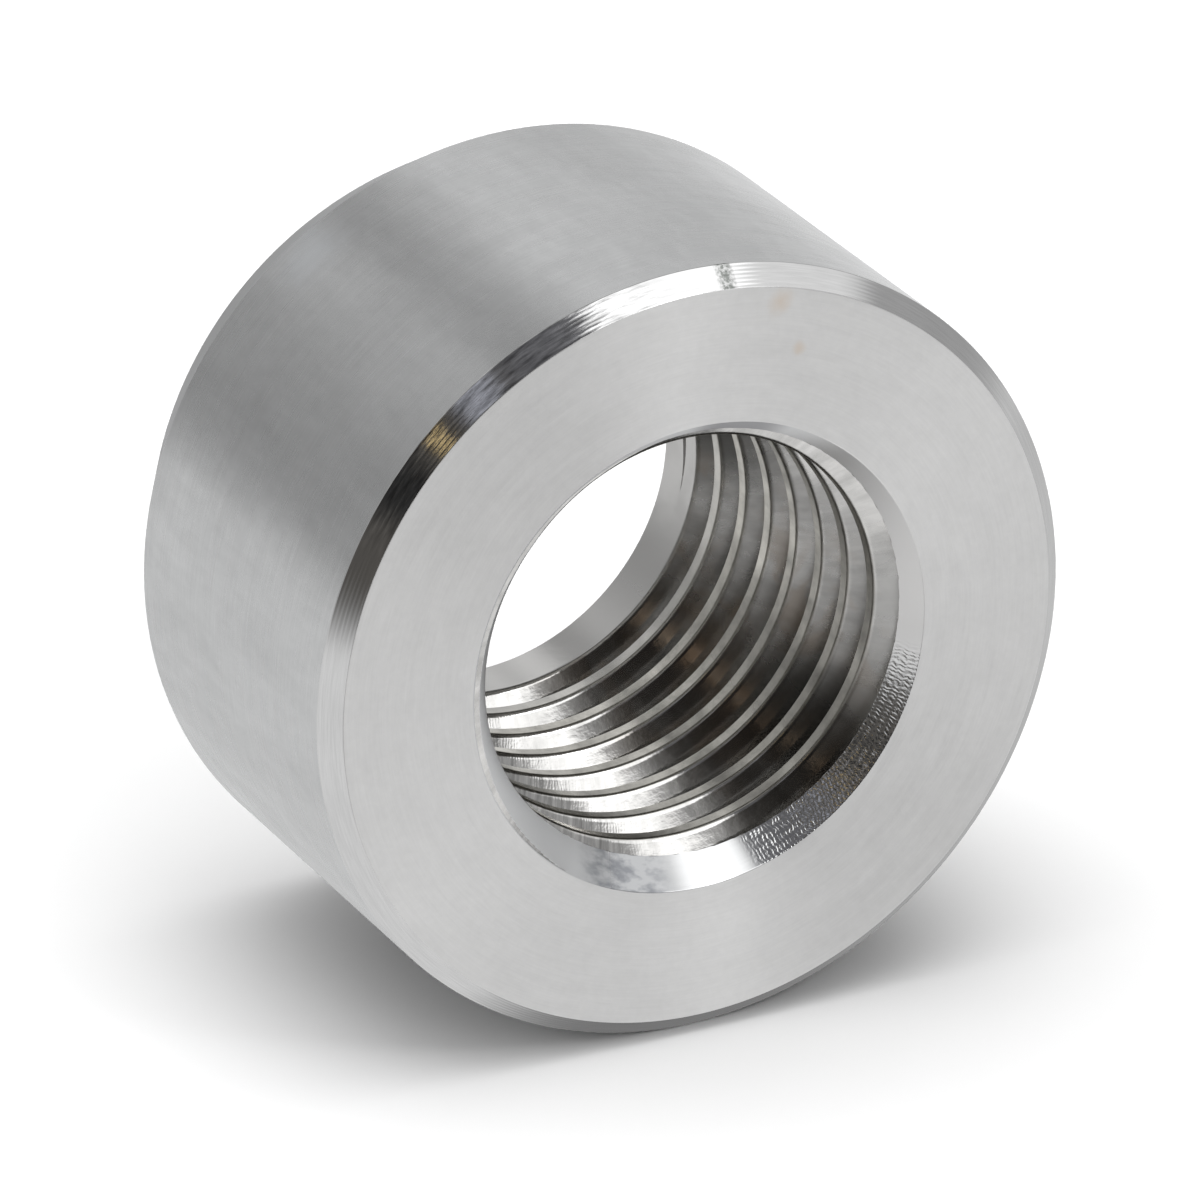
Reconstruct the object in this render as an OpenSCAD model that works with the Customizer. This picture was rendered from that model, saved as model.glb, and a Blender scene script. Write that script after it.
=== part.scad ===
// Weld bung: one turned steel collar with an internal pipe thread, welded into the wall of a tank or tube.
// It stands on its weld end with the bore upright. +Z runs up the bore and out of the open face.
// The origin is at the centre of the weld end. All sizes are in millimetres.

/* [Body] */
// Outside diameter
outer_d = 21; // [18:0.5:30]
// Overall length
length = 13; // [10:0.5:20]
// Width of the 45 degree chamfer round the open face
face_chamfer = 0.5; // [0.1:0.1:1.5]

/* [Weld end] */
// Length of the bevel that leads into the weld hole
bevel_length = 2.2; // [0.5:0.1:4]
// How far the bevel comes in from the outside
bevel_depth = 1.2; // [0.2:0.1:2]

/* [Bore] */
// Diameter of the bore, which the thread is cut into
bore_d = 11.3; // [10:0.1:12]
// Diameter of the countersink at the open face
sink_d = 12.8; // [12.4:0.1:14]
// Included angle of the countersink
sink_angle = 82; // [60:2:120]

/* [Thread] */
// Distance from one turn to the next, 18 turns to the inch
pitch = 1.411; // [1.2:0.001:1.6]
// Depth of the groove below the bore
thread_depth = 0.73; // [0.3:0.01:0.75]
// Share of the pitch that is left flat at the crest
crest_share = 0.33; // [0.2:0.01:0.4]
// Distance from the weld end to the end of the groove
land = 0.8; // [0.8:0.1:3]
// Turns over which the tool comes out of the groove
fade_turns = 0.5; // [0.25:0.25:3]

/* [Hidden] */
$fn = 96;

outer_r = outer_d / 2;
bore_r = bore_d / 2;
sink_r = sink_d / 2;
sink_depth = (sink_r - bore_r) / tan(sink_angle / 2);

// Half of the 60 degree thread angle
flank_angle = 30;
// Sections of the groove in each turn
steps = 24;
crest_flat = crest_share * pitch;
mouth_half = (pitch - crest_flat) / 2;
sharp_depth = mouth_half / tan(flank_angle);
groove_depth = min(thread_depth, 0.95 * sharp_depth);
root_half = mouth_half - groove_depth * tan(flank_angle);
// The cutter starts inside the bore, by less than makes its own turns touch
cutter_inset = 0.3 * crest_flat / tan(flank_angle);
inset_half = mouth_half + cutter_inset * tan(flank_angle);
// The groove starts clear above the open face
groove_top = length + 0.76 * pitch;
groove_turns = (groove_top - land) / pitch;
stations = round(groove_turns * steps);
thinnest_cut = 0.02;

// Share of the full groove at a station: all of it along the thread, and next to none at its end
function cut(i) =
  let (turns_left = (stations - i) / steps)
  max(thinnest_cut, min(1, turns_left / fade_turns));

// The groove's section at a cut, as radius and height about the groove's middle
function section(c) = [
  [bore_r - cutter_inset, inset_half * c],
  [bore_r + groove_depth * c, root_half * c],
  [bore_r + groove_depth * c, -root_half * c],
  [bore_r - cutter_inset, -inset_half * c]
];

// That section at its place along the right-hand helix
function station(i) =
  let (angle = -360 * i / steps, middle = groove_top - pitch * i / steps)
  [for (p = section(cut(i))) [p[0] * cos(angle), p[0] * sin(angle), middle + p[1]]];

module thread_groove() {
  corners = 4;
  last = corners * stations;
  points = [for (i = [0 : stations]) each station(i)];
  sides = [
    for (i = [0 : stations - 1]) for (j = [0 : corners - 1])
      let (a = corners * i + j, b = corners * i + (j + 1) % corners)
        each [[a, b, b + corners], [a, b + corners, a + corners]]
  ];
  start_cap = [[0, 2, 1], [0, 3, 2]];
  end_cap = [[last, last + 1, last + 2], [last, last + 2, last + 3]];
  polyhedron(points, concat(sides, start_cap, end_cap), convexity = 12);
}

module turned_collar() {
  rotate_extrude()
    polygon([
      [bore_r, 0],
      [outer_r - bevel_depth, 0],
      [outer_r, bevel_length],
      [outer_r, length - face_chamfer],
      [outer_r - face_chamfer, length],
      [sink_r, length],
      [bore_r, length - sink_depth]
    ]);
}

module weld_bung() {
  color("silver")
    difference() {
      turned_collar();
      thread_groove();
    }
}

weld_bung();
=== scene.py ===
"""Weld bung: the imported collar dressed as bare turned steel, in a plain pale studio."""

import math

import bpy
import numpy as np
from mathutils import Matrix, Vector


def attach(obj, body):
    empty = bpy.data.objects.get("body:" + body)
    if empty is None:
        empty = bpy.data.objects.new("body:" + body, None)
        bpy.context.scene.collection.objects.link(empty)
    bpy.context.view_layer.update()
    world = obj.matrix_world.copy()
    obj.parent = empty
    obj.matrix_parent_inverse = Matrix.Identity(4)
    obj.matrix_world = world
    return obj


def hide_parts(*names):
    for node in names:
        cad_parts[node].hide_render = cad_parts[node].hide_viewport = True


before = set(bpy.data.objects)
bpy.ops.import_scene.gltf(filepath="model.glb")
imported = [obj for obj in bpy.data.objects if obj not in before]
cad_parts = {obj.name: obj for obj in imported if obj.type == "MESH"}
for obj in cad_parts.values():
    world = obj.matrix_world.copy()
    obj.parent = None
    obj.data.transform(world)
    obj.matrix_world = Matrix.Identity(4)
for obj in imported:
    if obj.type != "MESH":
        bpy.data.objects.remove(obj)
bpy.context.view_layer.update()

MM = 0.001
MICROMETRE = 1e-6

# Body, in millimetres, as in the CAD part
OUTER_R = 10.5
LENGTH = 13.0
FACE_CHAMFER = 0.5
BEVEL_LENGTH = 2.2
BEVEL_DEPTH = 1.2
BORE_R = 5.65
SINK_R = 6.4
SINK_HALF_ANGLE = math.radians(41)
SINK_SPREAD = math.tan(SINK_HALF_ANGLE)
SINK_FOOT = LENGTH - (SINK_R - BORE_R) / SINK_SPREAD

# Thread, in millimetres and turns. The tip of its fade lies to one side of the groove's middle.
PITCH = 1.411
GROOVE_DEPTH = 0.73
MOUTH_HALF = 0.5
FLANK = math.tan(math.radians(30))
GROOVE_TOP = LENGTH + 0.76 * PITCH
GROOVE_TURNS = 9.41
FADE_TURNS = 0.25
TIP_SHIFT = 0.29

# Fine form, in millimetres
EDGE_ROUND = 0.05
CREST_ROUND = 0.07
FEED_GROOVES = 6
FEED_GROOVE_DEPTH = 0.0009

# Mesh: counts, then sizes in millimetres
COLUMNS = 360
CORNER_STEPS = 4
FEED_GROOVE_ROWS = 6
MOUTH_ROWS = 60
MOUTH_OVERLAP = 0.03
ROOT_BREAK = 0.02
NEAR_CONE = 0.01
MERGE = 1e-5
# Shares: of the full groove where its rows stop narrowing, of the root, and of the texture map
THINNEST_CUT = 0.06
ROOT_INNER = 0.6
UV_MARGIN = 0.004

# One side of the countersink is rubbed, and its shading leans towards the face's: an arc in degrees
# (middle, half width, soft edge), how far it leans at the rim, and the share of that at the foot
RUBBED_ARC = (12, 84, 16)
RUBBED_LEAN = 0.85
RUBBED_AT_FOOT = 0.4

# The turned section, as r, z and the zone of the stretch that leaves each corner. The first and
# last are in the bore, which is built by rows of its own.
SECTION = [
    (BORE_R, 1.0, "land"),
    (BORE_R, 0, "weld_end"),
    (OUTER_R - BEVEL_DEPTH, 0, "bevel"),
    (OUTER_R, BEVEL_LENGTH, "outside"),
    (OUTER_R, LENGTH - FACE_CHAMFER, "chamfer"),
    (OUTER_R - FACE_CHAMFER, LENGTH, "face"),
    (SINK_R, LENGTH, "sink"),
    (BORE_R, SINK_FOOT, "sink"),
]
ZONES = ["thread", "land", "weld_end", "bevel", "outside", "chamfer", "face", "sink"]

ANGLES = np.arange(COLUMNS + 1) * 2 * math.pi / COLUMNS
COS, SIN = np.cos(ANGLES), np.sin(ANGLES)


# Geometry


def unit(v):
    v = np.asarray(v, float)
    return v / np.linalg.norm(v)


def around(radius, z):
    """A row of points round the axis, from its radius and height."""
    return np.stack([radius * COS, radius * SIN, np.broadcast_to(z, COS.shape)], -1)


def rounded_profile(corners, radius):
    """Rows (r, z, normal r, normal z, zone) of an open profile whose inner corners are rounded."""
    points = [np.array(c[:2], float) for c in corners]
    zones = [c[2] for c in corners]
    rows = []
    for i in range(1, len(points) - 1):
        here = points[i]
        before, after = unit(here - points[i - 1]), unit(points[i + 1] - here)
        turn = math.acos(np.clip(before @ after, -1, 1))
        trim = radius * math.tan(turn / 2)
        centre = here - before * trim - np.array([before[1], -before[0]]) * radius
        for step in range(CORNER_STEPS + 1):
            t = step / CORNER_STEPS
            along = unit((1 - t) * before + t * after)
            normal = np.array([along[1], -along[0]])
            zone = zones[i - 1] if t < 0.5 else zones[i]
            rows.append((*(centre + normal * radius), *normal, zone))
    return rows


def feed_grooves(rows, start, end):
    """The rows with the stretch between two of them cut by shallow feed grooves."""
    a, b = np.array(rows[start][:2]), np.array(rows[end][:2])
    normal = np.array(rows[start][2:4])
    along = unit(b - a)
    length = np.linalg.norm(b - a)
    added = []
    for i in range(1, FEED_GROOVES * FEED_GROOVE_ROWS):
        t = i / (FEED_GROOVES * FEED_GROOVE_ROWS)
        wave = 2 * math.pi * FEED_GROOVES * t
        place = a + (b - a) * t - normal * FEED_GROOVE_DEPTH * (1 - math.cos(wave)) / 2
        slope = FEED_GROOVE_DEPTH * math.pi * FEED_GROOVES / length * math.sin(wave)
        added.append((*place, *unit(normal + along * slope), rows[start][4]))
    return rows[: start + 1] + added + rows[end:]


def groove_at(z):
    """Depth of the thread groove below the bore wall, and its slope, along a row of heights."""
    turns = ANGLES / (2 * math.pi)
    path = np.round((GROOVE_TOP - z) / PITCH + turns) - turns
    cut = np.clip((GROOVE_TURNS - path) / FADE_TURNS, 0, 1)
    off = z - (GROOVE_TOP - PITCH * path) - TIP_SHIFT * (1 - cut)
    inside = MOUTH_HALF * cut - np.abs(off)
    # The crest's edge is rounded over this much to each side of it
    reach = np.maximum(CREST_ROUND * cut, 1e-9)
    share = np.clip((inside + reach) / (2 * reach), 0, 1)
    room = np.where(share < 1, reach * share * share, inside) / FLANK
    depth = np.clip(room, 0, GROOVE_DEPTH * cut)
    on_flank = (room > 0) & (room < GROOVE_DEPTH * cut)
    slope = np.where(on_flank, -np.sign(off) * share / FLANK, 0.0)
    return depth, slope


def bore_normals(radius, slope):
    """Normals of a bore wall that points to the axis, from its slope along the height."""
    lead = -slope * PITCH / (2 * math.pi * radius)
    n = np.stack([-np.ones_like(slope), lead, slope], -1)
    n /= np.linalg.norm(n, axis=-1, keepdims=True)
    return np.stack([n[..., 0] * COS - n[..., 1] * SIN, n[..., 0] * SIN + n[..., 1] * COS, n[..., 2]], -1)


def thread_heights(low, high):
    """Rows of heights that follow the helix and its edges, kept between two levels."""
    rows = []
    for turn in range(int((GROOVE_TOP - low) / PITCH) + 3, -1, -1):
        path = turn - ANGLES / (2 * math.pi)
        cut = np.clip((GROOVE_TURNS - path) / FADE_TURNS, THINNEST_CUT, 1)
        middle = GROOVE_TOP - PITCH * path
        shift = TIP_SHIFT * (1 - cut)
        mouth = MOUTH_HALF * cut
        root = mouth - GROOVE_DEPTH * cut * FLANK
        edge = CREST_ROUND * cut
        bends = (-edge, -edge / 3, edge / 3, edge)
        offsets = [-PITCH / 2]
        offsets += [shift - mouth + bend for bend in bends]
        offsets += [shift - root - ROOT_BREAK * cut, shift - root * ROOT_INNER]
        offsets += [shift + root * ROOT_INNER, shift + root + ROOT_BREAK * cut]
        offsets += [shift + mouth + bend for bend in bends]
        rows += [np.clip(middle + off, low, high) for off in offsets]
    return rows


def thread_row(z):
    depth, slope = groove_at(z)
    radius = BORE_R + depth
    return around(radius, z), bore_normals(radius, slope)


def rubbed_share():
    """How much the countersink is rubbed, at each angle."""
    middle, half, edge = (math.radians(v) for v in RUBBED_ARC)
    away = np.abs((ANGLES - middle + math.pi) % (2 * math.pi) - math.pi)
    share = np.clip((half + edge - away) / (2 * edge), 0, 1)
    return share * share * (3 - 2 * share)


def mouth_row(level, top):
    """A level row at the mouth of the bore: thread or countersink, whichever is cut deeper."""
    z = np.full_like(ANGLES, level)
    depth, slope = groove_at(z)
    wall = BORE_R + depth
    cone = np.maximum(BORE_R + (z - SINK_FOOT) * SINK_SPREAD, BORE_R)
    in_cone = cone > wall
    radius = np.where(in_cone, cone, wall)
    cone_normals = around(-math.cos(SINK_HALF_ANGLE), math.sin(SINK_HALF_ANGLE))
    normals = np.where(in_cone[:, None], cone_normals, bore_normals(radius, slope))
    height = np.clip((z - SINK_FOOT) / (top - SINK_FOOT), 0, 1)
    lean = RUBBED_AT_FOOT + (1 - RUBBED_AT_FOOT) * height
    normals[:, 2] += RUBBED_LEAN * rubbed_share() * lean
    return around(radius, z), normals / np.linalg.norm(normals, axis=1, keepdims=True)


def bung_rows():
    """The closed section, up the bore and down the outside: places, normals and zone of each row."""
    body = rounded_profile(SECTION, EDGE_ROUND)
    chamfer = [i for i, row in enumerate(body) if row[4] == "chamfer" and abs(row[2] - row[3]) < 1e-6]
    body = feed_grooves(body, chamfer[0], chamfer[-1])
    low, foot, top = body[0][1], SINK_FOOT - MOUTH_OVERLAP, body[-1][1]
    rows = [(*thread_row(z), "thread") for z in thread_heights(low, foot)]
    for i in range(1, MOUTH_ROWS + 1):
        rows.append((*mouth_row(foot + (top - foot) * i / MOUTH_ROWS, top), "mouth"))
    for r, z, normal_r, normal_z, zone in reversed(body):
        rows.append((around(r, z), around(normal_r, normal_z), zone))
    places, normals, zones = zip(*rows)
    return np.array(places), np.array(normals), zones


def mouth_zone(corners):
    """Whether a face at the mouth is on the countersink or in the thread."""
    radial = np.hypot(*corners[:, :2].mean(0))
    z = corners[:, 2].mean()
    off_cone = abs(radial - (BORE_R + (z - SINK_FOOT) * SINK_SPREAD))
    return "sink" if off_cone < NEAR_CONE and z > SINK_FOOT else "thread"


def texture_map(places):
    """Each column's share of the turn, and each row's share of its column's length."""
    columns = places.shape[1]
    steps = np.linalg.norm(np.roll(places, -1, axis=0) - places, axis=2)
    along = np.vstack([np.zeros(columns), np.cumsum(steps, axis=0)])
    inset = 1 - 2 * UV_MARGIN
    u = UV_MARGIN + inset * np.arange(columns) / (columns - 1)
    v = UV_MARGIN + inset * along / along[-1]
    return u, v


def bung_faces():
    """Vertices in metres, their normals, and the faces with their zones and texture places."""
    places, normals, zones = bung_rows()
    u, v = texture_map(places)
    count, columns = places.shape[:2]
    keys = np.round(places.reshape(-1, 3) / MERGE).astype(np.int64)
    _, first, inverse = np.unique(keys, axis=0, return_index=True, return_inverse=True)
    grid = inverse.reshape(count, columns)
    vertices = places.reshape(-1, 3)[first]
    vertex_normals = normals.reshape(-1, 3)[first]
    faces, face_zones, face_uvs = [], [], []
    for i in range(count):
        j = (i + 1) % count
        for k in range(columns - 1):
            loop, uvs = [], []
            for row, below, col in ((i, i, k), (j, i + 1, k), (j, i + 1, k + 1), (i, i, k + 1)):
                if grid[row, col] not in loop:
                    loop.append(grid[row, col])
                    uvs.append((u[col], v[below, col]))
            if len(loop) < 3:
                continue
            faces.append(loop)
            face_zones.append(mouth_zone(vertices[loop]) if zones[i] == "mouth" else zones[i])
            face_uvs.extend(uvs)
    return vertices * MM, vertex_normals, faces, face_zones, face_uvs


def make_bung():
    vertices, normals, faces, face_zones, face_uvs = bung_faces()
    mesh = bpy.data.meshes.new("bung_turned")
    mesh.from_pydata(vertices.tolist(), [], faces)
    mesh.polygons.foreach_set("material_index", [ZONES.index(zone) for zone in face_zones])
    mesh.polygons.foreach_set("use_smooth", [True] * len(mesh.polygons))
    mesh.uv_layers.new(name="OFBake").data.foreach_set("uv", np.array(face_uvs, float).ravel())
    mesh.update()
    mesh.normals_split_custom_set_from_vertices(normals.tolist())
    bung = bpy.data.objects.new("bung_turned", mesh)
    bpy.context.scene.collection.objects.link(bung)
    return bung


bung = make_bung()
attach(bung, "root")
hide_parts("weld_bung")


# Nodes


def add(tree, kind, inputs=None, **settings):
    """A new node with its settings, and its inputs set or linked by name or number."""
    node = tree.nodes.new(kind)
    for name, value in settings.items():
        setattr(node, name, value)
    for name, value in (inputs or {}).items():
        if isinstance(value, bpy.types.NodeSocket):
            tree.links.new(value, node.inputs[name])
        else:
            node.inputs[name].default_value = value
    return node


def arithmetic(tree, operation, *values):
    node = add(tree, "ShaderNodeMath", dict(enumerate(values)), operation=operation)
    return node.outputs[0]


def times(tree, first, second):
    return arithmetic(tree, "MULTIPLY", first, second)


def vector_math(tree, operation, output, *values, **named):
    inputs = {**dict(enumerate(values)), **named}
    return add(tree, "ShaderNodeVectorMath", inputs, operation=operation).outputs[output]


def vector(tree, *parts):
    return add(tree, "ShaderNodeCombineXYZ", dict(enumerate(parts))).outputs[0]


def remap(tree, value, low, high, to_low, to_high, kind="LINEAR"):
    sizes = {"From Min": low, "From Max": high, "To Min": to_low, "To Max": to_high}
    node = add(tree, "ShaderNodeMapRange", {"Value": value, **sizes}, interpolation_type=kind)
    return node.outputs["Result"]


def noise(tree, place, scale=1.0, detail=2.0, roughness=0.5, distortion=0.0):
    inputs = {"Vector": place, "Scale": scale, "Detail": detail}
    inputs |= {"Roughness": roughness, "Distortion": distortion}
    return add(tree, "ShaderNodeTexNoise", inputs).outputs["Fac"]


def rgba(colour):
    """A grey or a colour as four values. A socket is left as it is."""
    if isinstance(colour, bpy.types.NodeSocket):
        return colour
    if isinstance(colour, (int, float)):
        colour = (colour, colour, colour)
    return (*colour, 1)


def mixed(tree, share, first, second):
    inputs = {0: share, 6: rgba(first), 7: rgba(second)}
    return add(tree, "ShaderNodeMix", inputs, data_type="RGBA").outputs[2]


def cone_of(tree, nearness, half, edge):
    """1 within a cone, from the cosine of the angle to its middle, and 0 beyond its soft edge."""
    outer, inner = (math.cos(math.radians(max(0, half + e))) for e in (edge, -edge))
    return remap(tree, nearness, outer, inner, 0.0, 1.0, "SMOOTHSTEP")


# Materials

GREY = (0.6, 0.6, 0.6)

# The part of a noise's range that most of it lies in
NOISE_RANGE = (0.3, 0.7)

ROUGHNESS_LIMITS = (0.04, 0.9)
STRIPES_PER_RADIAN = 40.0

# Where a soft spot is still whole, and where it ends, as shares of its reach
SPOT_FADE = (0.5, 1.6)

# Arcs round the axis, in degrees: middle, half width and soft edge
ARCS = {
    "thread_rippled": (100, 30, 9),
    "thread_polished": (134, 22, 8),
    "thread_run_in": (100, 22, 8),
    "thread_brown": (190, 30, 22),
    "thread_blotched": (222, 30, 14),
    "thread_blotched_near": (176, 24, 10),
    "thread_satin": (226, 40, 14),
    # Two painted dark reflections in the groove
    "thread_painted_dark_reflection_far": (243, 14, 6),
    "thread_painted_dark_reflection_near": (186, 11, 6),
    "thread_pale": (212, 20, 10),
    "sink_pale": (248, 34, 12),
    "sink_polished": (163, 50, 9),
    "sink_rippled": (184, 31, 4),
    "sink_smudged": (116, 10, 5),
    # A thin painted shadow on the countersink
    "sink_painted_shadow": (305, 9, 5),
    "chamfer_torn": (349, 25, 7),
    "chamfer_nicked": (311, 0.9, 0.7),
}

# Soft spots, each a place and reach in millimetres: a painted pale reflection on the outside, and warm
# stains on the face
PAINTED_PALE_REFLECTION = ((10.36, -1.69, 3.1), 1.3)
WARM_STAINS = [((5.1, -8.15, 13.0), 0.45), ((3.75, -7.55, 13.0), 0.25)]

# How much of the radius and of the height makes up the distance across the marks of each surface
ALONG_AXIS = (0.0, 1.0)
ALONG_RADIUS = (1.0, 0.0)
ACROSS_BEVEL = (-0.5, 0.87)
ACROSS_CHAMFER = (0.7, -0.7)
ACROSS_SINK = (0.66, 0.75)
ACROSS_THREAD = (1.0, 1.0)


class Place:
    """Where a point is on the turned part, in millimetres and in angle round the axis."""

    def __init__(self, tree):
        self.tree = tree
        coords = add(tree, "ShaderNodeTexCoord")
        self.point = vector_math(tree, "SCALE", "Vector", coords.outputs["Object"], Scale=1 / MM)
        self.x, self.y, self.z = add(tree, "ShaderNodeSeparateXYZ", {0: self.point}).outputs
        squares = [times(tree, v, v) for v in (self.x, self.y)]
        self.radius = arithmetic(tree, "SQRT", arithmetic(tree, "ADD", *squares))
        self.cos = arithmetic(tree, "DIVIDE", self.x, self.radius)
        self.sin = arithmetic(tree, "DIVIDE", self.y, self.radius)
        self.angle = arithmetic(tree, "ARCTAN2", self.y, self.x)

    def distance(self, radial, axial):
        """A distance made up of so much of the radius and so much of the height."""
        t = self.tree
        return arithmetic(t, "ADD", times(t, self.radius, radial), times(t, self.z, axial))

    def marks(self, across, per_mm, arc, detail=2.0, seed=0.0):
        """Turning marks: fine across, and long round the axis."""
        t = self.tree
        fine = arithmetic(t, "MULTIPLY_ADD", across, per_mm, seed)
        place = vector(t, fine, times(t, self.cos, arc), times(t, self.sin, arc))
        return noise(t, place, detail=detail, roughness=0.6)

    def arc(self, name):
        """1 within one of the arcs round the axis, and 0 outside it."""
        t = self.tree
        middle, half, edge = ARCS[name]
        m = math.radians(middle)
        nearness = arithmetic(t, "MULTIPLY_ADD", self.sin, math.sin(m), times(t, self.cos, math.cos(m)))
        return cone_of(t, nearness, half, edge)

    def chatter(self, waves, across, per_mm, wander, distortion):
        """Ripples that a trembling tool leaves: so many waves round the axis, broken up across it."""
        t = self.tree
        drift = noise(t, self.point, scale=2.6, detail=3.0, roughness=0.7)
        phase = arithmetic(t, "MULTIPLY_ADD", self.angle, waves, times(t, drift, wander))
        ripple = arithmetic(t, "SINE", phase)
        rows = arithmetic(t, "SINE", arithmetic(t, "MULTIPLY_ADD", across, per_mm * 2 * math.pi, phase))
        both = arithmetic(t, "MULTIPLY_ADD", rows, 0.5, ripple)
        patches = noise(t, self.point, scale=3.1, detail=3.0, roughness=0.65, distortion=distortion)
        return times(t, both, remap(t, patches, 0.38, 0.62, 0.4, 1.0))


class Steel:
    """Bare turned steel, to which marks, tints, stains, and painted shade and reflections are added
    before it is finished.
    """

    def __init__(self, name, roughness, spread, anisotropy=0.0, tint=GREY, mottle=0.03):
        self.material = bpy.data.materials.new(name)
        self.material.use_nodes = True
        self.tree = self.material.node_tree
        self.shader = self.tree.nodes["Principled BSDF"]
        self.place = Place(self.tree)
        self.shader.inputs["Metallic"].default_value = 1.0
        self.shader.inputs["Anisotropic"].default_value = anisotropy
        self.shader.inputs["Anisotropic Rotation"].default_value = 0.25
        if anisotropy:
            tangent = add(self.tree, "ShaderNodeTangent", direction_type="RADIAL", axis="Z")
            self.tree.links.new(tangent.outputs[0], self.shader.inputs["Tangent"])
        self.normal = None
        blotch = noise(self.tree, self.place.point, scale=0.35, detail=3.0, roughness=0.55)
        self.roughness = remap(self.tree, blotch, *NOISE_RANGE, roughness - spread, roughness + spread)
        self.colour = tint
        self.gain_colour(remap(self.tree, blotch, *NOISE_RANGE, 1 - mottle, 1 + mottle))

    def gain_colour(self, gain):
        self.colour = vector_math(self.tree, "SCALE", "Vector", self.colour, Scale=gain)

    def bump(self, height, micrometres, mask=None):
        if mask is not None:
            height = times(self.tree, height, mask)
        inputs = {"Height": height, "Distance": micrometres * MICROMETRE, "Strength": 1.0}
        if self.normal is not None:
            inputs["Normal"] = self.normal
        self.normal = add(self.tree, "ShaderNodeBump", inputs).outputs[0]

    # Mixes in a colour by a mask: for stains and wear, and for painted shadow and reflections
    def stain_or_painted_light(self, mask, colour):
        self.colour = mixed(self.tree, mask, self.colour, colour)

    def shade(self, value, contrast, mask=1.0):
        """Lightens and darkens the colour by a noise, up to the contrast each way."""
        swing = remap(self.tree, value, *NOISE_RANGE, -contrast, contrast)
        self.gain_colour(arithmetic(self.tree, "MULTIPLY_ADD", swing, mask, 1.0))

    def cloud(self, scale, stretch, contrast, distortion=0.0):
        """Soft light and dark patches, drawn out along the axis."""
        t = self.tree
        place = vector_math(t, "MULTIPLY", "Vector", self.place.point, (1, 1, stretch))
        clouds = noise(t, place, scale, detail=3.0, roughness=0.6, distortion=distortion)
        self.shade(clouds, contrast)

    def spot(self, middle, reach, colour):
        """A soft patch of colour about a point, in millimetres, used for stains and for a painted
        reflection.
        """
        t = self.tree
        far = vector_math(t, "DISTANCE", "Value", self.place.point, middle)
        rag = noise(t, self.place.point, scale=1.8, detail=3.0, roughness=0.6)
        ragged = arithmetic(t, "MULTIPLY_ADD", rag, reach, far)
        whole, end = (share * reach for share in SPOT_FADE)
        self.stain_or_painted_light(remap(t, ragged, whole, end, 1.0, 0.0, "SMOOTHSTEP"), colour)

    def roughen(self, mask, amount):
        self.roughness = arithmetic(self.tree, "MULTIPLY_ADD", mask, amount, self.roughness)

    def finished(self):
        low, high = ROUGHNESS_LIMITS
        links = self.tree.links
        links.new(self.colour, self.shader.inputs["Base Color"])
        rough = add(self.tree, "ShaderNodeClamp", {0: self.roughness, 1: low, 2: high})
        links.new(rough.outputs[0], self.shader.inputs["Roughness"])
        if self.normal is not None:
            links.new(self.normal, self.shader.inputs["Normal"])
        return self.material


def turned(name, roughness, anisotropy, across, depth, tint=GREY, contrast=0.03):
    """A plainly turned surface: across says what its marks are fine along, and depth is theirs in
    micrometres."""
    steel = Steel(name, roughness, spread=0.01, anisotropy=anisotropy, tint=tint, mottle=0.02)
    place = steel.place
    distance = place.distance(*across)
    fine = place.marks(distance, per_mm=16.0, arc=7.0, detail=3.0)
    coarse = place.marks(distance, per_mm=3.0, arc=3.0, detail=3.0, seed=31.0)
    steel.bump(fine, depth)
    steel.shade(fine, contrast)
    steel.roughen(remap(steel.tree, coarse, *NOISE_RANGE, -1.0, 1.0), 0.02)
    return steel


def outside_steel():
    tint = (0.612, 0.617, 0.62)
    steel = turned("steel_outside", 0.27, 0.92, ALONG_AXIS, depth=0.25, tint=tint, contrast=0.035)
    steel.cloud(scale=0.7, stretch=0.3, contrast=0.06)
    steel.cloud(scale=2.4, stretch=0.5, contrast=0.03, distortion=0.4)
    # A pale bluish painted reflection near the far end of the outside
    steel.spot(*PAINTED_PALE_REFLECTION, (0.655, 0.67, 0.685))
    return steel


def face_steel():
    tint = (0.66, 0.658, 0.655)
    steel = turned("steel_face", 0.32, 0.94, ALONG_RADIUS, depth=0.12, tint=tint, contrast=0.025)
    steel.cloud(scale=0.9, stretch=1.0, contrast=0.02)
    steel.cloud(scale=4.0, stretch=1.0, contrast=0.02, distortion=0.3)
    for stain_or_painted_light in WARM_STAINS:
        steel.spot(*stain_or_painted_light, (0.64, 0.582, 0.525))
    return steel


def thread_steel():
    """Polished in the groove, with painted dark reflections in it, and paler and duller on the worn
    crests.
    """
    tint = (0.6, 0.594, 0.582)
    steel = Steel("steel_thread", roughness=0.14, spread=0.03, tint=tint, mottle=0.05)
    cut_thread(steel)
    stain_groove_and_paint_reflections(steel)
    wear_crests(steel)
    return steel


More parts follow.
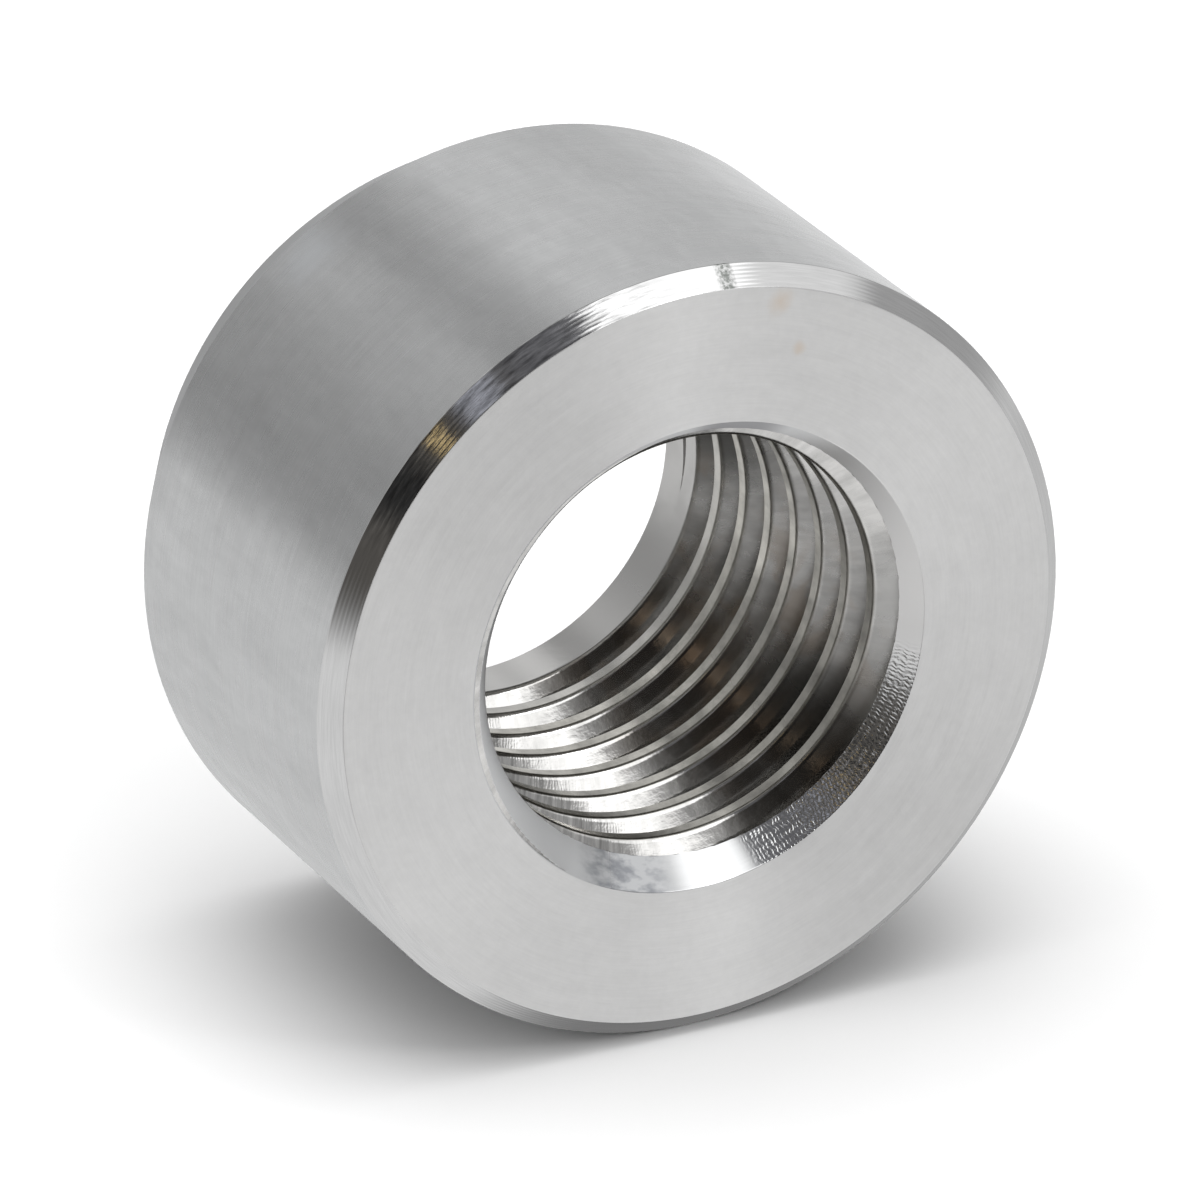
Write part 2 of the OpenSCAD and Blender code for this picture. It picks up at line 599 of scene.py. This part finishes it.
def cut_thread(steel):
    """The marks of the tool, and the stripes where the grooves run in under the near side."""
    t, place = steel.tree, steel.place
    across = place.distance(*ACROSS_THREAD)
    steel.bump(place.marks(across, per_mm=2.5, arc=5.0, detail=3.0), 2.5)
    steel.bump(noise(t, place.point, scale=1.8, detail=4.0, roughness=0.65), 4.5)
    ripples = place.chatter(waves=430, across=place.z, per_mm=1.1, wander=16.0, distortion=0.4)
    steel.bump(ripples, 0.3, place.arc("thread_rippled"))
    steel.roughen(place.arc("thread_polished"), -0.05)
    stripes = vector(t, times(t, place.angle, STRIPES_PER_RADIAN), place.z)
    stripes = noise(t, stripes, detail=2.0, roughness=0.6)
    run_in = place.arc("thread_run_in")
    steel.stain_or_painted_light(times(t, run_in, 0.55), (0.36, 0.355, 0.35))
    steel.shade(stripes, 0.35, run_in)
    steel.shade(place.marks(place.z, per_mm=1.2, arc=6.0, detail=4.0, seed=23.0), 0.2)
    steel.shade(place.marks(place.z, per_mm=0.6, arc=14.0, detail=3.0, seed=3.0), 0.12)


def stain_groove_and_paint_reflections(steel):
    """Brown patches, dull blotches that show grey on the polished steel, two painted dark reflections,
    and a pale tone.
    """
    t, place = steel.tree, steel.place
    patches = noise(t, place.point, scale=0.55, detail=3.0, roughness=0.6, distortion=0.5)
    patches = remap(t, patches, 0.45, 0.62, 0.0, 0.8, "SMOOTHSTEP")
    steel.stain_or_painted_light(times(t, patches, place.arc("thread_brown")), (0.52, 0.465, 0.41))
    blotches = place.marks(place.z, per_mm=1.1, arc=6.0, detail=4.0, seed=17.0)
    blotches = remap(t, blotches, 0.36, 0.7, 0.0, 1.0, "SMOOTHSTEP")
    near = times(t, place.arc("thread_blotched_near"), remap(t, place.z, 6.5, 9.0, 0.1, 0.45))
    blotched = arithmetic(t, "MAXIMUM", place.arc("thread_blotched"), near)
    steel.roughen(times(t, blotches, blotched), 0.12)
    steel.roughen(place.arc("thread_satin"), 0.1)
    # The two painted dark reflections, then the pale tone: each with its arc, the heights where it is
    # absent and full, its strength and its colour
    for arc, absent, full, strength, colour in (
        ("thread_painted_dark_reflection_far", 5.2, 4.2, 0.75, (0.2, 0.2, 0.195)),
        ("thread_painted_dark_reflection_near", 7.0, 8.5, 0.7, (0.2, 0.2, 0.195)),
        ("thread_pale", 11.4, 11.9, 0.7, (0.84, 0.835, 0.82)),
    ):
        steel.stain_or_painted_light(times(t, place.arc(arc), remap(t, place.z, absent, full, 0.0, strength)), colour)


def wear_crests(steel):
    t, place = steel.tree, steel.place
    crest = remap(t, place.radius, BORE_R + 0.01, BORE_R + 0.06, 1.0, 0.0)
    steel.stain_or_painted_light(crest, (0.565, 0.56, 0.55))
    steel.roughen(crest, 0.08)
    worn = times(t, crest, remap(t, place.z, 1.5, 4.0, 0.0, 1.0))
    steel.stain_or_painted_light(worn, (0.58, 0.565, 0.52))
    steel.shade(place.marks(place.z, per_mm=1.0, arc=8.0, detail=4.0, seed=41.0), 0.3, worn)
    # The crests grow darker towards the mouth
    steel.shade(remap(t, place.z, 3.0, 11.0, 0.5, 0.3), 0.3, crest)


def sink_steel():
    """Satin, but polished and rippled by the trembling tool on one side, and with a thin painted shadow.
    """
    steel = Steel("steel_sink", roughness=0.4, spread=0.02, tint=(0.64, 0.645, 0.65))
    t, place = steel.tree, steel.place
    across = place.distance(*ACROSS_SINK)
    steel.bump(place.marks(across, per_mm=6.0, arc=3.0), 0.35)
    steel.stain_or_painted_light(place.arc("sink_pale"), (0.74, 0.735, 0.73))
    steel.roughen(place.arc("sink_polished"), -0.285)
    rippled = place.arc("sink_rippled")
    ripples = place.chatter(waves=330, across=place.radius, per_mm=7.0, wander=18.0, distortion=0.3)
    steel.bump(ripples, 2.4, rippled)
    steel.bump(noise(t, place.point, scale=6.0, detail=3.0, roughness=0.7), 4.5, rippled)
    streaks = place.marks(across, per_mm=2.5, arc=9.0, detail=3.0, seed=5.0)
    smudge = times(t, place.arc("sink_smudged"), remap(t, streaks, 0.4, 0.6, 0.35, 1.0))
    steel.stain_or_painted_light(smudge, (0.3, 0.31, 0.33))
    # Painted shadow: a thin dark line along one arc of the countersink
    steel.stain_or_painted_light(place.arc("sink_painted_shadow"), (0.36, 0.36, 0.37))
    return steel


def chamfer_steel():
    """Polished, with torn turning lines on one side, and one small nick."""
    steel = Steel("steel_chamfer", roughness=0.085, spread=0.015)
    t, place = steel.tree, steel.place
    across = place.distance(*ACROSS_CHAMFER)
    lines = place.marks(across, per_mm=10.0, arc=14.0, detail=4.0)
    torn = place.arc("chamfer_torn")
    steel.bump(place.marks(across, per_mm=6.0, arc=4.0), 0.2)
    steel.bump(lines, 3.2, torn)
    steel.shade(place.marks(across, per_mm=22.0, arc=9.0, detail=4.0, seed=7.0), 0.07)
    steel.shade(lines, 0.55, torn)
    nick = place.arc("chamfer_nicked")
    specks = noise(t, place.point, scale=9.0, detail=2.0, roughness=0.6)
    steel.bump(specks, 7.0, nick)
    steel.stain_or_painted_light(times(t, nick, remap(t, specks, 0.4, 0.6, 0.3, 1.0)), (0.2, 0.21, 0.2))
    return steel


FINISHES = {
    "thread": thread_steel(),
    "land": turned("steel_land", 0.2, 0.5, ALONG_AXIS, depth=0.3, contrast=0.015),
    "weld_end": turned("steel_weld_end", 0.34, 0.8, ALONG_RADIUS, depth=0.4),
    "bevel": turned("steel_bevel", 0.42, 0.8, ACROSS_BEVEL, depth=0.4, tint=(0.45, 0.455, 0.46)),
    "outside": outside_steel(),
    "chamfer": chamfer_steel(),
    "face": face_steel(),
    "sink": sink_steel(),
}
for zone in ZONES:
    bung.data.materials.append(FINISHES[zone].finished())


# Studio. The photographed collar lies on its side, so the floor is a plane that touches its outside.

FLOOR_UP = Vector((0.7095, -0.7047, 0)).normalized()
AHEAD = Vector((0, 0, 1))
ACROSS = FLOOR_UP.cross(AHEAD)
FLOOR_GLOW = 0.93
SKY_GLOW = 0.5
BACKDROP_GLOW = 1.2
FLOOR_WHITE = 0.9

# Half the floor's width, and the gap that keeps it off the collar, in metres
FLOOR_HALF = 3.0
FLOOR_GAP = 0.00002

# How far a ray points ahead where the bands behind the collar begin, and where they are full
BEHIND = (-0.25, -0.5)
# How far a ray points up where the glow of the floor ends and where what stands above is full,
# and how much that edge leans to one side behind the collar
FLOOR_EDGE = (-0.2, 0.1)
FLOOR_LEAN = -0.35
HORIZON = (-0.01, 0.01)

# What stands behind the collar, as bands that run along its axis: degrees from the left side up
# and over to the right side, and brightness
BANDS = [
    (-60, 0.8), (-20, 0.86), (0, 0.8), (20, 0.68), (34, 0.62), (48, 0.84), (60, 0.68), (72, 0.92),
    (80, 0.84), (92, 0.4), (102, 0.43), (114, 0.66), (135, 0.5), (160, 0.38), (178, 0.35),
]

# What else stands round it: azimuth, elevation, radius and soft edge in degrees, and brightness.
# Each covers the ones before it.
SURROUNDINGS = {
    "floor_behind": (150, -15, 9, 5, 1.15),
    "floor_behind_left": (-160, -27, 24, 8, 0.8),
    "floor_right": (116, -21, 20, 6, 0.72),
    "side": (70, 40, 14, 5, 1.05),
    "floor_shadow": (-31, -25, 20, 7, 0.5),
    "room": (-36, 28, 37, 8, (0.115, 0.108, 0.1)),
    "room_middle": (-22, 22, 21, 8, (0.022, 0.02, 0.018)),
    "room_left": (-51, 25, 6, 4, 0.03),
    "room_high": (-10, 55, 13, 5, (0.16, 0.16, 0.17)),
    "reflector": (-37, 46, 4, 3, (0.4, 0.41, 0.46)),
    "key": (29.5, 47, 20.5, 2, 1.75),
    "key_core": (26, 42, 5, 3, 9.0),
    "lamp": (-46.5, 37, 2.0, 1, (0.85, 0.64, 0.32)),
    "window": (-20, 14.3, 1.3, 0.8, (0.72, 0.55, 0.4)),
    "shade": (141, -56, 20, 14, 0.26),
}

# What lights the floor, as lobes that add up on an even glow: the same values, and one strength
DOME_GLOW = 0.02
DOME_LIGHTS = {
    "overhead": (0, 90, 22, 20, 3.38),
    "front": (0, 14, 18, 16, 1.68),
    "front_left": (-45, 14, 18, 16, 0.28),
    "left": (-90, 14, 18, 16, 1.32),
    "behind_left": (-135, 14, 18, 16, 0.85),
    "behind": (180, 14, 18, 16, 0.82),
    "high_front": (0, 38, 20, 18, 0.73),
    "high_left": (-120, 38, 20, 18, 0.73),
    "high_behind": (180, 38, 20, 18, 0.47),
}


def studio_direction(azimuth, elevation):
    a, e = math.radians(azimuth), math.radians(elevation)
    flat = math.cos(e)
    return ACROSS * math.sin(a) * flat + AHEAD * math.cos(a) * flat + FLOOR_UP * math.sin(e)


def toward(tree, ray, direction):
    """How far a ray points along a direction, from -1 to 1."""
    return vector_math(tree, "DOT_PRODUCT", "Value", ray, tuple(direction))


def lobe(tree, ray, azimuth, elevation, radius, edge):
    """1 within a round patch of the surroundings, falling to 0 over its soft edge."""
    return cone_of(tree, toward(tree, ray, studio_direction(azimuth, elevation)), radius, edge)


def bands_behind(tree, across, height):
    """The brightness of the bands that run along the axis."""
    turn = arithmetic(tree, "DIVIDE", arithmetic(tree, "ARCTAN2", height, across), 2 * math.pi)
    ramp = add(tree, "ShaderNodeValToRGB", {0: arithmetic(tree, "ADD", turn, 0.5)})
    stops = ramp.color_ramp.elements
    while len(stops) < len(BANDS):
        stops.new(0.5)
    for stop, (degrees, glow) in zip(stops, BANDS):
        stop.position = 0.5 + degrees / 360
        stop.color = rgba(glow)
    return ramp.outputs["Color"]


def studio_glow(tree, ray):
    """What the steel reflects."""
    across, ahead, height = (toward(tree, ray, axis) for axis in (ACROSS, AHEAD, FLOOR_UP))
    behind = remap(tree, ahead, *BEHIND, 0.0, 1.0, "SMOOTHSTEP")
    edge = arithmetic(tree, "MULTIPLY_ADD", times(tree, across, FLOOR_LEAN), behind, height)
    above = remap(tree, edge, *FLOOR_EDGE, 0.0, 1.0, "SMOOTHSTEP")
    glow = mixed(tree, behind, SKY_GLOW, bands_behind(tree, across, height))
    glow = mixed(tree, above, FLOOR_GLOW, glow)
    for *place, brightness in SURROUNDINGS.values():
        glow = mixed(tree, lobe(tree, ray, *place), glow, brightness)
    return glow


def dome_glow(tree, ray):
    """What lights the floor: a soft dome of its own, so that it shows only the collar's shadow."""
    glow = DOME_GLOW
    for *place, strength in DOME_LIGHTS.values():
        glow = arithmetic(tree, "MULTIPLY_ADD", lobe(tree, ray, *place), strength, glow)
    return times(tree, glow, remap(tree, toward(tree, ray, FLOOR_UP), *HORIZON, 0.0, 1.0))


def background(tree, colour, strength=1.0):
    inputs = {"Color": rgba(colour), "Strength": strength}
    return add(tree, "ShaderNodeBackground", inputs).outputs[0]


def make_world():
    world = bpy.data.worlds.new("studio")
    world.use_nodes = True
    world.cycles.sampling_method = "MANUAL"
    world.cycles.sample_map_resolution = 512
    tree = world.node_tree
    tree.nodes.clear()
    ray = add(tree, "ShaderNodeTexCoord").outputs["Generated"]
    studio = background(tree, studio_glow(tree, ray))
    dome = background(tree, 1, dome_glow(tree, ray))
    backdrop = background(tree, 1, BACKDROP_GLOW)
    path = add(tree, "ShaderNodeLightPath").outputs
    from_floor = arithmetic(tree, "GREATER_THAN", path["Diffuse Depth"], 0.5)
    lit = add(tree, "ShaderNodeMixShader", {0: from_floor, 1: studio, 2: dome}).outputs[0]
    seen = add(tree, "ShaderNodeMixShader", {0: path["Is Camera Ray"], 1: lit, 2: backdrop}).outputs[0]
    add(tree, "ShaderNodeOutputWorld", {"Surface": seen})
    bpy.context.scene.world = world


def make_floor():
    """White on the side that faces the collar, and clear from behind."""
    touch = -FLOOR_UP * (OUTER_R * MM + FLOOR_GAP)
    turns = ((-1, -1), (-1, 1), (1, 1), (1, -1))
    corners = [touch + AHEAD * a * FLOOR_HALF + ACROSS * b * FLOOR_HALF for a, b in turns]
    mesh = bpy.data.meshes.new("floor")
    mesh.from_pydata([tuple(p) for p in corners], [], [(0, 1, 2, 3)])
    if mesh.polygons[0].normal.dot(FLOOR_UP) < 0:
        mesh.flip_normals()
    material = bpy.data.materials.new("floor_white")
    material.use_nodes = True
    tree = material.node_tree
    tree.nodes.clear()
    side = add(tree, "ShaderNodeNewGeometry").outputs["Backfacing"]
    white = add(tree, "ShaderNodeBsdfDiffuse", {"Color": rgba(FLOOR_WHITE)}).outputs[0]
    clear = add(tree, "ShaderNodeBsdfTransparent").outputs[0]
    both = add(tree, "ShaderNodeMixShader", {0: side, 1: white, 2: clear}).outputs[0]
    add(tree, "ShaderNodeOutputMaterial", {"Surface": both})
    mesh.materials.append(material)
    floor = bpy.data.objects.new("floor", mesh)
    bpy.context.scene.collection.objects.link(floor)
    floor.visible_glossy = floor.visible_diffuse = floor.visible_shadow = False


make_world()
make_floor()


# Camera, fitted to the photograph: its place in millimetres, its lens and sensor in millimetres, and
# what it can see, in metres

CAMERA_PLACE = Vector((161.38937, 0.46091, 232.95973))
CAMERA_BACK = Vector((0.58290, 0.0, 0.81254)).normalized()
CAMERA_UP = Vector((0.51469, -0.77379, -0.36923)).normalized()
LENS = 324.48
SENSOR_WIDTH = 36.0
CLIP = (0.01, 20)


def make_camera():
    data = bpy.data.cameras.new("camera")
    data.sensor_width = SENSOR_WIDTH
    data.lens = LENS
    data.clip_start, data.clip_end = CLIP
    camera = bpy.data.objects.new("camera", data)
    bpy.context.scene.collection.objects.link(camera)
    axes = Matrix([CAMERA_UP.cross(CAMERA_BACK), CAMERA_UP, CAMERA_BACK]).transposed()
    camera.matrix_world = Matrix.Translation(CAMERA_PLACE * MM) @ axes.to_4x4()
    return camera


bpy.context.scene.camera = make_camera()
bpy.context.scene.view_settings.view_transform = "Standard"
